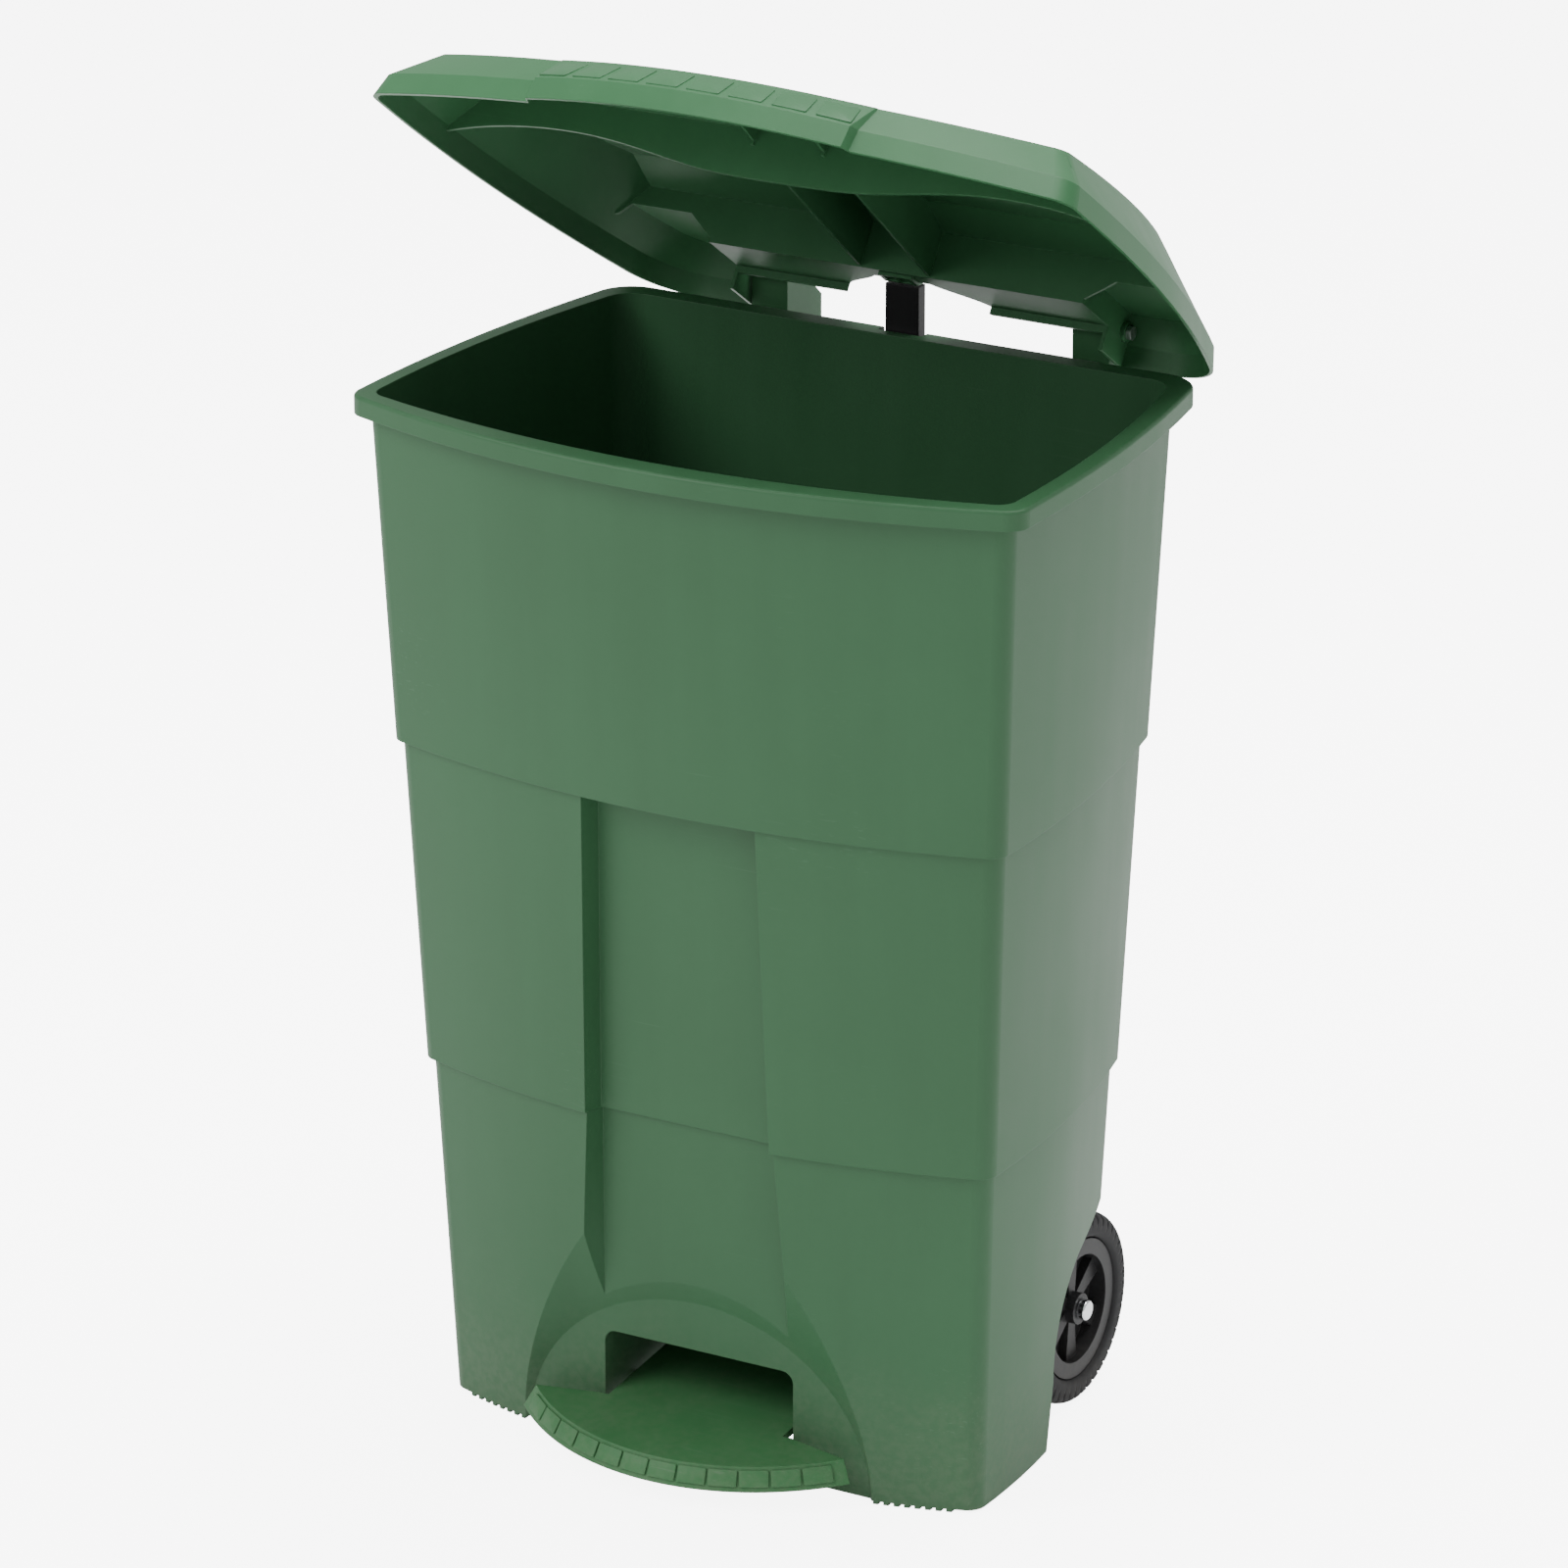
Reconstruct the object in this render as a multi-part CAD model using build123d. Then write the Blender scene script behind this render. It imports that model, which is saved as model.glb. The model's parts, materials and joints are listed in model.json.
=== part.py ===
from build123d import *
import math
import os

os.makedirs("parts", exist_ok=True)

# A pedal-operated wheeled bin, in millimetres. +X right, +Y back, +Z up, floor at z = 0.
# The parts are laid out about the middle of the tub, then moved back by centre_shift when written.
# The stored pose has the pedal pressed and the lid part open.

# ---------------------------------------------------------------- tub
rim_height = 850.0
front_half = 282.4            # half width of the wall at the front corners, at the rim
rear_half = 250.0             # half width of the wall at the rear corners, at the rim
front_y = -163.7              # front corners of the wall, at the rim
rear_y = 172.7                # rear wall, at the rim
bow_front = 42.5              # how far the front wall bows out
bow_side = 11.0
wall = 3.5
taper = 0.039                 # inset of the wall per millimetre of height
step_inset = 4.3
step_heights = (293.1, 564.7)
corner_front = 16.0
corner_rear = 24.0
floor_z = 112.0               # top of the tub's floor
foot_height = 2.5
foot_pitch = 13.0
foot_count = 8
foot_first_x = 160.0

# rim collar
rim_over_side = 12.1
rim_over_corner = 5.8
rim_over_back = 17.3
rim_bow = 12.0                # extra bow of the collar over the wall
collar_height = 16.0
collar_round = 3.0

# front recess and foot niche
recess_half_top = 78.0
recess_half_step = 84.0
recess_half_low = 100.2
recess_low_z = 100.0
recess_depth = 22.4
recess_slant = 5.0
recess_slant_low = 16.0
niche_y = -143.0
niche_half = 156.0
niche_rise = 135.0
niche_mouth_y = -176.0
niche_mouth_half = 186.0
niche_mouth_rise = 250.0
opening_half = 86.0
opening_top = 94.4
opening_round = 10.0

# ---------------------------------------------------------------- wheels
wheel_y = 107.5
wheel_radius = 80.0
wheel_z = wheel_radius
wheel_width = 40.0
wheel_inner_x = 172.0
tyre_inner_radius = 0.725 * wheel_radius
hub_radius = 13.0
spoke_count = 6
axle_radius = 6.0
running_clearance = 0.06
housing_x = 165.0             # inner wall of the wheel housing
housing_front_y = -1.0
boss_radius = 14.0
boss_length = 14.0
cap_radius = 8.5
cap_length = 7.0

# ---------------------------------------------------------------- hinge and lid
hinge_back = 50.0             # hinge axis behind the collar
hinge_up = 10.0               # hinge axis above the rim
rest_opening = 34.6           # lid angle in the stored pose, degrees
pin_radius = 4.0
post_inner_x = 129.3
post_width = 32.7
post_radius = 14.0
post_bottom = 690.0
post_back = 42.0              # back of the post behind the hinge axis
handle_radius = 14.0
handle_wall = 3.0
handle_z = 795.0
handle_back = 22.0            # handle axis behind the hinge axis
post_gap = 3.0                # post to the lid's hinge housing

lid_wall = 3.0
lid_drop = 15.8               # lower edge of the lid below the rim
lid_over_side = 10.0          # lid past the collar
lid_over_front = 8.0
lid_bow_front = 55.0
lid_bow_side = 19.0
lid_rear_half = rear_half + 4.0
lid_rear_past_hinge = 13.0
lid_corner_front = 22.0
lid_corner_rear = 58.0
band_height = 19.0
band_inset = 5.0
slope_inset_rate = 0.88       # inset of the sloping border per millimetre of height
lid_front_top = 44.0          # top above the lower edge, at the front border
lid_top_pitch = 0.092
lid_dome_back = 159.0         # rear wall of the dome
lid_bevel_start = 113.0
lid_bevel_drop = 12.0
ledge_height = 23.0           # top of the rear ledge above the lower edge
housing_height = 45.0         # top of the hinge housings above the lower edge
lip_half = 136.0              # lift lip in the middle of the front
lip_reach = 20.0
lip_end_reach = 8.0
lip_flare = 5.0
lip_fade = 24.0                # extra inset of the lip at the top of the slope's loft
scallop_half = 25.0
scallop_outer_half = 62.0
scallop_y = 174.0
rear_lip_drop = 6.0
cross_rib_y = -59.0
fin_x = 31.0
clip_half = 15.0
clip_drop = 2.7                # the clip below the ledge
clip_heel = 0.4                # flat part of its underside behind the scallop's edge
clip_reach = 14.0              # how far back it goes from the scallop's edge
clip_top = 6.0                 # the clip above the ledge
clip_pocket = 10.0

# ---------------------------------------------------------------- pedal and rod
pivot_y = -95.0
pivot_z = 34.0
pivot_radius = 5.0
pedal_tilt = 5.5              # pedal angle in the stored pose, degrees
pedal_top = 12.0              # top of the plate above the pivot
pedal_thickness = 6.0
pedal_arc_radius = 199.0
pedal_front = 122.0           # top front edge ahead of the pivot
pedal_band_height = 17.0
pedal_band_flare = 11.0
pedal_band_wall = 4.0
pedal_neck_half = 80.0
pedal_tip_half = 141.0
pedal_neck_y = -147.5
pedal_neck_back = 62.0         # the neck runs this far behind the pivot
pedal_tip_y = -158.0
lever_half_gap = 17.0
lever_plate = 4.0
lever_height = 12.0
lever_low = (107.0, 42.0)     # the lever passes under the axle here, in the stored pose
bracket_gap = 3.0              # bracket to the tunnel wall
tunnel_back = -18.0            # rear end of the walls beside the pedal's neck
tunnel_low = 16.0
bracket_plate = 6.0
bracket_depth = 34.0

rod_half = 15.0
rim_notch_gap = 5.0
rod_front = 181.0
rod_thickness = 13.0
rod_pin_z = 56.0
rod_pin_radius = 4.0
fork_half = 8.5                # half length of the slots in the lever's rear ends
fork_gap = 1.2
rod_gap = 1.8                 # rod top to the lift clip in the stored pose
guide_clearance = 0.6
guide_wall = 4.0
guide_heights = (215.0, 620.0)
guide_height = 40.0
screw_radius = 2.5
screw_gap = 0.1
screw_head_radius = 5.0
screw_head_height = 3.0
screw_bite = 4.0                # how far the pedal's screws go into its plate

# ---------------------------------------------------------------- worked-out sizes
collar_half = front_half + rim_over_side
collar_front_y = front_y - rim_over_corner
collar_rear_y = rear_y + rim_over_back
hinge_y = collar_rear_y + hinge_back
hinge_z = rim_height + hinge_up
post_outer_x = post_inner_x + post_width
lid_ear_x = post_outer_x + post_gap
lid_low = rim_height - lid_drop
lid_half = collar_half + lid_over_side
lid_front_y = collar_front_y - lid_over_front
lid_rear_y = hinge_y + lid_rear_past_hinge
lid_ledge_y = hinge_y - post_radius - 13.0
rod_y = rod_front + rod_thickness / 2
screw_hole = screw_radius + screw_gap
clip_low = lid_low + ledge_height - lid_wall - clip_drop
clip_plug_half = clip_half - 2.0
wheel_outer_x = wheel_inner_x + wheel_width
pedal_low_front = pivot_y - pedal_front - pedal_band_flare
bracket_x = opening_half + wall + bracket_gap
post_rear_y = hinge_y + post_back
centre_shift = -(pedal_low_front + post_rear_y) / 2
opening_rad = math.radians(rest_opening)
clip_heel_y = scallop_y + clip_heel
rod_top = (hinge_z + (hinge_y - clip_heel_y) * math.sin(opening_rad)
           - (hinge_z - clip_low) * math.cos(opening_rad) - rod_gap)


def box(x0, x1, y0, y1, z0, z1):
    """A box given by its limits."""
    middle = Pos((x0 + x1) / 2, (y0 + y1) / 2, (z0 + z1) / 2)
    return middle * Box(x1 - x0, y1 - y0, z1 - z0)


def rod_x(x0, x1, y, z, radius):
    """A round bar along X."""
    return Pos((x0 + x1) / 2, y, z) * Rot(0, 90, 0) * Cylinder(radius, x1 - x0)


def rod_along_y(x, y0, y1, z, radius):
    """A round bar along Y."""
    return Pos(x, (y0 + y1) / 2, z) * Rot(90, 0, 0) * Cylinder(radius, y1 - y0)


def side_plate(points, x0, x1):
    """A flat plate with its outline in (y, z), between two x positions."""
    face = Plane.YZ * make_face(Polyline(*points, close=True))
    return Pos(x0, 0, 0) * extrude(face, amount=x1 - x0)


def mirror_x(shape):
    return mirror(shape, about=Plane.YZ)


def group(pieces):
    """Separate solids that share one node."""
    return Compound([solid for piece in pieces for solid in piece.solids()])


def plan_face(z, half_f, half_r, y_f, y_r, bow_f, bow_s, radius_f, radius_r):
    """A plan outline: bowed front and sides, straight back, rounded corners."""
    middle_x = (half_f + half_r) / 2 + bow_s
    middle_y = (y_f + y_r) / 2
    front = ThreePointArc((-half_f, y_f), (0, y_f - bow_f), (half_f, y_f))
    right = ThreePointArc((half_f, y_f), (middle_x, middle_y), (half_r, y_r))
    back = Line((half_r, y_r), (-half_r, y_r))
    left = ThreePointArc((-half_r, y_r), (-middle_x, middle_y), (-half_f, y_f))
    face = make_face([front, right, back, left])
    rows = face.vertices().group_by(Axis.Y)
    face = fillet(rows[0], radius_f)
    rows = face.vertices().group_by(Axis.Y)
    face = fillet(rows[-1], radius_r)
    return Pos(0, 0, z) * face


def wall_inset(z, level):
    """Inset of the tub's wall from its size at the rim; level counts the steps above."""
    return (rim_height - z) * taper + level * step_inset


def tub_face(z, inset):
    return plan_face(z, front_half - inset, rear_half - inset, front_y + inset, rear_y - inset,
                     bow_front, bow_side, corner_front, corner_rear)


def tub_solid(inset, rise, bottom, top):
    """The tapered, stepped tub: inset 0 is its outside, inset wall its inside."""
    levels = (bottom, step_heights[0] + rise, step_heights[1] + rise, top)
    solid = None
    for index in range(3):
        z0 = levels[index]
        z1 = levels[index + 1]
        steps = 2 - index
        low = tub_face(z0, inset + wall_inset(z0, steps))
        high = tub_face(z1, inset + wall_inset(z1, steps))
        tier = loft([low, high], ruled=True)
        solid = tier if solid is None else solid + tier
    return solid


def front_middle(z, level):
    """The middle of the front wall's outside at a height."""
    return front_y - bow_front + wall_inset(z, level)


def recess_face(z, half, floor_y, slant=recess_slant):
    far_y = front_y - bow_front - 60
    far_half = half + slant * (floor_y - recess_depth - far_y) / recess_depth
    outline = Polyline((-far_half, far_y), (far_half, far_y), (half - slant, floor_y),
                       (-half + slant, floor_y), close=True)
    return Pos(0, 0, z) * make_face(outline)


def recess(grow):
    """The upright recess in the front, from the upper step down to the foot niche."""
    step_z = step_heights[0]
    top_z = step_heights[1]
    high_floor = front_middle(top_z, 1) + recess_depth + grow
    step_floor = front_middle(step_z, 1) + recess_depth + grow
    upper = loft([recess_face(step_z, recess_half_step + grow, step_floor),
                  recess_face(top_z + grow, recess_half_top + grow, high_floor)], ruled=True)
    step_floor = front_middle(step_z, 2) + recess_depth + grow
    low_floor = front_middle(recess_low_z, 2) + recess_depth + grow
    lower = loft([recess_face(recess_low_z, recess_half_low + grow, low_floor, recess_slant_low),
                  recess_face(step_z + grow, recess_half_step + 1 + grow, step_floor)], ruled=True)
    return upper + lower


def niche(grow):
    """The flared arch above the pedal that makes room for a foot."""
    inner = Plane(origin=(0, niche_y + grow, 0), x_dir=(1, 0, 0), z_dir=(0, -1, 0))
    mouth = Plane(origin=(0, niche_mouth_y, 0), x_dir=(1, 0, 0), z_dir=(0, -1, 0))
    small = inner * Ellipse(niche_half + grow, niche_rise + grow)
    large = mouth * Ellipse(niche_mouth_half + grow, niche_mouth_rise + grow)
    return loft([small, large], ruled=True)


def wheel_housing(grow):
    """The space cut out of the tub round one wheel, on the right."""
    front = housing_front_y
    wheel_top = wheel_z + wheel_radius
    rise = Line((front, -20), (front + 11, 60))
    turn = ThreePointArc((front + 11, 60), (front + 26, 124), (front + 60, wheel_top - 7))
    top = Line((front + 60, wheel_top - 7), (wheel_y + 4, wheel_top + 9))
    back = Line((wheel_y + 4, wheel_top + 9), (rear_y + 60, wheel_top + 58))
    end = Polyline((rear_y + 60, wheel_top + 58), (rear_y + 60, -20), (front, -20))
    face = make_face([rise, turn, top, back, end])
    if grow > 0:
        face = offset(face, grow)
    solid = extrude(Plane.YZ * face, amount=front_half)
    return Pos(housing_x - grow, 0, 0) * solid


def collar():
    """The rim: a flat flange with a lip that hangs down outside the wall."""
    outer = plan_face(rim_height - collar_height, collar_half, rear_half + rim_over_side - 0.7,
                      collar_front_y, collar_rear_y, bow_front + rim_bow, bow_side,
                      corner_front + 4, corner_rear + 10)
    ring = extrude(outer, amount=collar_height)
    top_edges = ring.edges().group_by(Axis.Z)[-1]
    ring = fillet(top_edges, collar_round)
    under = offset(outer, -wall)
    hollow = extrude(under, amount=collar_height - wall)
    return ring, hollow


def feet_cut(tub_outside):
    """What is taken off the bottom edge so that it stands on a row of small feet."""
    size = 2 * front_half + 40
    slab = box(-size, size, front_y - 100, rear_y + 100, -1, foot_height)
    for index in range(foot_count):
        x = foot_first_x + index * foot_pitch / 1.6
        foot = box(x, x + foot_pitch / 3.2, front_y - 40, front_y + 70, -1, foot_height)
        slab = slab - foot - mirror_x(foot)
    return slab


def make_body():
    outside = tub_solid(0, 0, 0, rim_height)
    ring, hollow = collar()
    cuts = recess(0) + niche(0)
    housing = wheel_housing(0)
    body = outside - cuts - housing - mirror_x(housing)
    body = body + (ring - hollow)
    floor_low = floor_z - wall
    keep = recess(wall) + niche(wall)
    housing_wall = wheel_housing(wall)
    keep = keep + housing_wall + mirror_x(housing_wall)
    inside = tub_solid(wall, wall, -10, rim_height + 5)
    size = 2 * front_half
    above = inside & box(-size, size, -size, size, floor_z, rim_height + 5)
    below = inside & box(-size, size, -size, size, -10, floor_low)
    body = body - (above - keep) - (below - keep)
    mouth = box(-opening_half, opening_half, niche_y - 30, niche_y + 20, -10, opening_top)
    corners = mouth.edges().filter_by(Axis.Y).group_by(Axis.Z)[-1]
    body = body - fillet(corners, opening_round)
    tunnel = box(opening_half, opening_half + wall, niche_y + 1.5, tunnel_back, tunnel_low, floor_z - 1)
    tunnel = tunnel - rod_x(opening_half - 5, opening_half + wall + 5, pivot_y, pivot_z, pivot_radius + 1.0)
    body = body + tunnel + mirror_x(tunnel)
    for side in (-1, 1):
        x0 = side * (housing_x - boss_length)
        x1 = side * housing_x
        body = body + rod_x(min(x0, x1), max(x0, x1), wheel_y, wheel_z, boss_radius)
    bore = axle_radius
    body = body - rod_x(-housing_x - 5, housing_x + 5, wheel_y, wheel_z, bore)
    lever_half = lever_half_gap + lever_plate + 4
    rear_low = rear_y - wall_inset(0, 2)
    body = body - box(-lever_half, lever_half, rear_low - 25, rear_low + 25, -5, floor_low - 18)
    notch = rod_half + rim_notch_gap
    body = body - box(-notch, notch, rod_front - 2.5, collar_rear_y + 10,
                      rim_height - collar_height - 5, rim_height + 5)
    body = body - feet_cut(outside)
    return body


def make_post():
    """The right hinge post: it hooks under the collar and carries the lid's pin."""
    under = rim_height - collar_height - 1.0
    front = collar_rear_y + hinge_back - post_radius
    rear = post_rear_y
    outline = Polyline((rear_y - 30, post_bottom), (rear_y + 12, post_bottom), (rear, handle_z - 40),
                       (rear, rim_height - 14), (hinge_y + post_radius, hinge_z),
                       (hinge_y, hinge_z), (front, hinge_z), (front, under), (rear_y - 30, under),
                       close=True)
    plate = extrude(Plane.YZ * make_face(outline), amount=post_width)
    post = Pos(post_inner_x, 0, 0) * plate
    post = post + rod_x(post_inner_x, post_outer_x, hinge_y, hinge_z, post_radius)
    post = post - tub_solid(0, 0, 0, rim_height)
    wall_t = 4.0
    front_in = rear_y + 14
    pocket = Polyline((front_in, post_bottom + 32), (rear - wall_t, handle_z - 34),
                      (rear - wall_t, handle_z - 22), (front_in, handle_z - 22), close=True)
    hollow = extrude(Plane.YZ * make_face(pocket), amount=post_width - 2 * wall_t)
    post = post - Pos(post_inner_x + wall_t, 0, 0) * hollow
    post = post - rod_x(post_inner_x - 5, post_outer_x + 5, hinge_y, hinge_z, pin_radius)
    socket = rod_x(post_inner_x - 5, post_inner_x + 6, hinge_y + handle_back, handle_z,
                   handle_radius)
    return post - socket


def make_handle():
    end = post_inner_x + 6
    bar = rod_x(-end, end, hinge_y + handle_back, handle_z, handle_radius)
    return bar - rod_x(-end - 1, end + 1, hinge_y + handle_back, handle_z,
                       handle_radius - handle_wall)


def make_hinge_pin():
    """The right hinge pin, fast in the post, with its head inside the lid's housing."""
    shank = rod_x(post_inner_x, lid_ear_x + lid_wall + 4, hinge_y, hinge_z, pin_radius)
    head = rod_x(lid_ear_x + lid_wall + 4, lid_ear_x + lid_wall + 8, hinge_y, hinge_z,
                 pin_radius + 1.5)
    return shank + head


# ---------------------------------------------------------------- lid
def lid_face(height, inset):
    """The lid's plan outline at a height above its lower edge."""
    rear_radius = max(lid_corner_rear - inset, 10)
    front_radius = max(lid_corner_front - inset * 0.4, 6)
    return plan_face(lid_low + height, lid_half - inset, lid_rear_half - inset,
                     lid_front_y + inset, lid_rear_y - inset * 0.35, lid_bow_front, lid_bow_side,
                     front_radius, rear_radius)


def lip_face(height, inset):
    """The bulge of the lift lip in plan."""
    main_y = lid_front_y - lid_bow_front
    end_y = main_y + lid_bow_front * (lip_half / lid_half) ** 2 - lip_end_reach + inset
    root = lip_half + lip_flare
    outline = [Line((-root, end_y + lip_end_reach + 6), (-lip_half, end_y)),
               ThreePointArc((-lip_half, end_y), (0, main_y - lip_reach + inset), (lip_half, end_y)),
               Line((lip_half, end_y), (root, end_y + lip_end_reach + 6)),
               Polyline((root, end_y + lip_end_reach + 6), (root, end_y + 60),
                        (-root, end_y + 60), (-root, end_y + lip_end_reach + 6))]
    return Pos(0, 0, lid_low + height) * make_face(outline)


def lid_levels(skin):
    """(height, inset) of the lid's outline: lower edge, crease and an unused top."""
    crease = band_height
    top = 100.0
    slope = band_inset + (top - crease) * slope_inset_rate
    side_skin = skin * 1.25
    return ((-1.0 if skin else 0.0, skin), (crease - skin * 0.3, band_inset + skin),
            (top - skin * 0.3, slope + side_skin))


def lid_form(skin):
    """The lid as a filled form: skin 0 is its outside, skin lid_wall its inside."""
    levels = lid_levels(skin)
    form = None
    for index, ((h0, i0), (h1, i1)) in enumerate(zip(levels, levels[1:])):
        part = loft([lid_face(h0, i0), lid_face(h1, i1)], ruled=True)
        lip = loft([lip_face(h0, i0), lip_face(h1, i1 + lip_fade * index)], ruled=True)
        part = part + lip
        form = part if form is None else form + part
    roof_front = lid_front_y - lid_bow_front - lip_reach - 10
    slope_start = lid_front_y - lid_bow_front + 30
    top_at = lambda y: lid_low + lid_front_top - skin + (y - slope_start) * lid_top_pitch
    back = lid_dome_back - skin
    low = lid_low - 5
    half = lid_half + 20
    dome = side_plate([(roof_front, low), (back, low), (back, top_at(lid_bevel_start) - lid_bevel_drop),
                       (lid_bevel_start, top_at(lid_bevel_start)), (slope_start, top_at(slope_start)),
                       (roof_front, top_at(slope_start) - 4)], -half, half)
    ledge_top = lid_low + ledge_height - skin
    ledge_back = lid_ledge_y - skin
    ledge = box(-half, half, back - 10, ledge_back, low, ledge_top)
    housing_top = lid_low + housing_height - skin
    housing = box(lid_ear_x + skin, half, back - 10, lid_rear_y + 20, low, housing_top)
    roof = dome + ledge + housing + mirror_x(housing)
    return form & roof


def scallop():
    """The cut in the middle of the rear ledge, open to the back."""
    top = lid_low + ledge_height + 10
    far = lid_ledge_y + 20
    outline = [Line((-scallop_half, scallop_y), (scallop_half, scallop_y)),
               Spline((scallop_half, scallop_y), (scallop_half + 18, scallop_y + 16),
                      (scallop_outer_half, lid_ledge_y - 6), (scallop_outer_half + 4, far)),
               Line((scallop_outer_half + 4, far), (-scallop_outer_half - 4, far)),
               Spline((-scallop_outer_half - 4, far), (-scallop_outer_half, lid_ledge_y - 6),
                      (-scallop_half - 18, scallop_y + 16), (-scallop_half, scallop_y))]
    return extrude(Pos(0, 0, lid_low - 5) * make_face(outline), amount=top - lid_low + 5)


def cross_rib():
    """The rib across the lid, with a belly in the middle of its lower edge."""
    low = lid_low
    edge = Spline((-lid_half, low + 12), (-225, low + 28), (-150, low + 27), (-70, low + 16),
                  (0, low + 14), (70, low + 16), (150, low + 27), (225, low + 28), (lid_half, low + 12))
    top = Polyline((lid_half, low + 12), (lid_half, low + 90), (-lid_half, low + 90),
                   (-lid_half, low + 12))
    plane = Plane(origin=(0, cross_rib_y, 0), x_dir=(1, 0, 0), z_dir=(0, -1, 0))
    return extrude(plane * make_face([edge, top]), amount=lid_wall)


def fin():
    """The right fin: a web from the cross rib to the rear wall, and its gusset in front."""
    low = lid_low
    web = side_plate([(cross_rib_y - 5, low + 40.4), (lid_dome_back - 1, low + ledge_height - lid_wall + 1),
                      (lid_dome_back - 1, low + 90), (cross_rib_y - 5, low + 90)],
                     fin_x - 1.25, fin_x + 1.25)
    gusset = side_plate([(cross_rib_y, low + 43.0), (cross_rib_y - 80, low + 54),
                         (cross_rib_y - 80, low + 90), (cross_rib_y, low + 90)],
                        fin_x - 1.25, fin_x + 1.25)
    return web + gusset


def housing_front():
    """The right part of the dome's rear wall in front of the hinge housing, with its window."""
    back = lid_dome_back
    plate = box(lid_ear_x + 0.5, lid_half, back - lid_wall, back, lid_low + ledge_height, lid_low + 50)
    outline = [(164, lid_low), (164, lid_low + 21), (183, lid_low + 35), (191, lid_low + 41.5),
               (246, lid_low + 41.5), (256, lid_low + 32), (276, lid_low + 23.2), (276, lid_low)]
    plane = Plane(origin=(0, back + 5, 0), x_dir=(1, 0, 0), z_dir=(0, -1, 0))
    window = extrude(plane * make_face(Polyline(*outline, close=True)), amount=lid_wall + 10)
    return plate - window


def make_lid():
    outside = lid_form(0)
    inside = lid_form(lid_wall)
    lid = outside - inside
    below = lid_low + ledge_height - rear_lip_drop - lid_wall
    half = lid_ear_x
    lid = lid - box(-half, half, lid_dome_back + 2, lid_rear_y + 30, lid_low - 10, below)
    open_middle = box(-half + 0.01, half - 0.01, lid_ledge_y, lid_rear_y + 30, lid_low - 10,
                      lid_low + 100)
    lid = lid - open_middle
    ribs = cross_rib() + fin() + mirror_x(fin())
    lid = lid + (ribs & outside)
    lid = lid - scallop()
    lid = lid - box(-clip_plug_half - 0.1, clip_plug_half + 0.1, lid_dome_back + 1.9, scallop_y - 0.9,
                    below, lid_low + ledge_height + 1)
    ears = lid_ear_x + lid_wall + 1
    lid = lid - box(-ears, ears, lid_dome_back + 2, collar_rear_y + 2, lid_low - 10, lid_low + 17.5)
    plate = housing_front() & outside
    lid = lid + plate + mirror_x(plate)
    for side in (-1, 1):
        x0 = side * (lid_ear_x + 0.5)
        x1 = side * (lid_ear_x + lid_wall + 3.5)
        boss = rod_x(min(x0, x1), max(x0, x1), hinge_y, hinge_z, pin_radius + 4)
        bore = rod_x(min(x0, x1) - 5, max(x0, x1) + 5, hinge_y, hinge_z, pin_radius + running_clearance)
        lid = lid + boss - bore
    return lid


def make_clip():
    """The block that the push rod lifts: it plugs into the ledge, has two square pockets, and
    its slanted underside lies level when the lid is in the stored pose."""
    under = lid_low + ledge_height - lid_wall
    over = lid_low + ledge_height
    front = lid_dome_back + 1
    rear = scallop_y + clip_reach
    edge = scallop_y + 0.1
    slant_z = clip_low + (rear - clip_heel_y) * math.tan(opening_rad)
    rear_block = side_plate([(edge, clip_low), (clip_heel_y, clip_low), (rear, slant_z),
                             (rear, over + clip_top), (edge, over + clip_top)],
                            -clip_half, clip_half)
    cap = box(-clip_half, clip_half, front, edge, over, over + clip_top)
    frame = box(-clip_half, clip_half, front, edge, clip_low, under)
    plug = box(-clip_plug_half, clip_plug_half, front + 1, scallop_y - 1, under, over)
    clip = rear_block + cap + frame + plug
    half = clip_pocket / 2
    for x in (-half - 1, half + 1):
        clip = clip - box(x - half, x + half, front + 1.5, scallop_y - 2, clip_low - 1, over + 2)
    return clip


def open_lid(shape):
    """Turn a lid piece from closed to the stored pose."""
    axis = Axis((0, hinge_y, hinge_z), (1, 0, 0))
    return shape.rotate(axis, -rest_opening)


# ---------------------------------------------------------------- pedal
def press_pedal(shape):
    """Turn a pedal piece from level to the stored pose."""
    axis = Axis((0, pivot_y, pivot_z), (1, 0, 0))
    return shape.rotate(axis, pedal_tilt)


def pedal_plan(grow):
    """The pedal seen from above: a segment of a disc with a narrower neck behind it."""
    centre_y = pivot_y - pedal_front + pedal_arc_radius
    radius = pedal_arc_radius + grow
    tip_x = pedal_tip_half + grow * 0.8
    arc_y = centre_y - math.sqrt(radius ** 2 - tip_x ** 2)
    arc = ThreePointArc((-tip_x, arc_y), (0, centre_y - radius), (tip_x, arc_y))
    edge = Polyline((tip_x, arc_y), (pedal_neck_half + 8, pedal_neck_y),
                    (pedal_neck_half, pedal_neck_y), (pedal_neck_half, pivot_y + pedal_neck_back),
                    (-pedal_neck_half, pivot_y + pedal_neck_back), (-pedal_neck_half, pedal_neck_y),
                    (-pedal_neck_half - 8, pedal_neck_y), (-tip_x, arc_y))
    return make_face([arc, edge])


def pedal_blade(grow):
    """Only the broad front of the pedal, for its hanging band."""
    face = pedal_plan(grow)
    keep = Pos(0, pivot_y - pedal_front, 0) * Rectangle(4 * pedal_tip_half, 2 * 84.0)
    return face & keep


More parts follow.
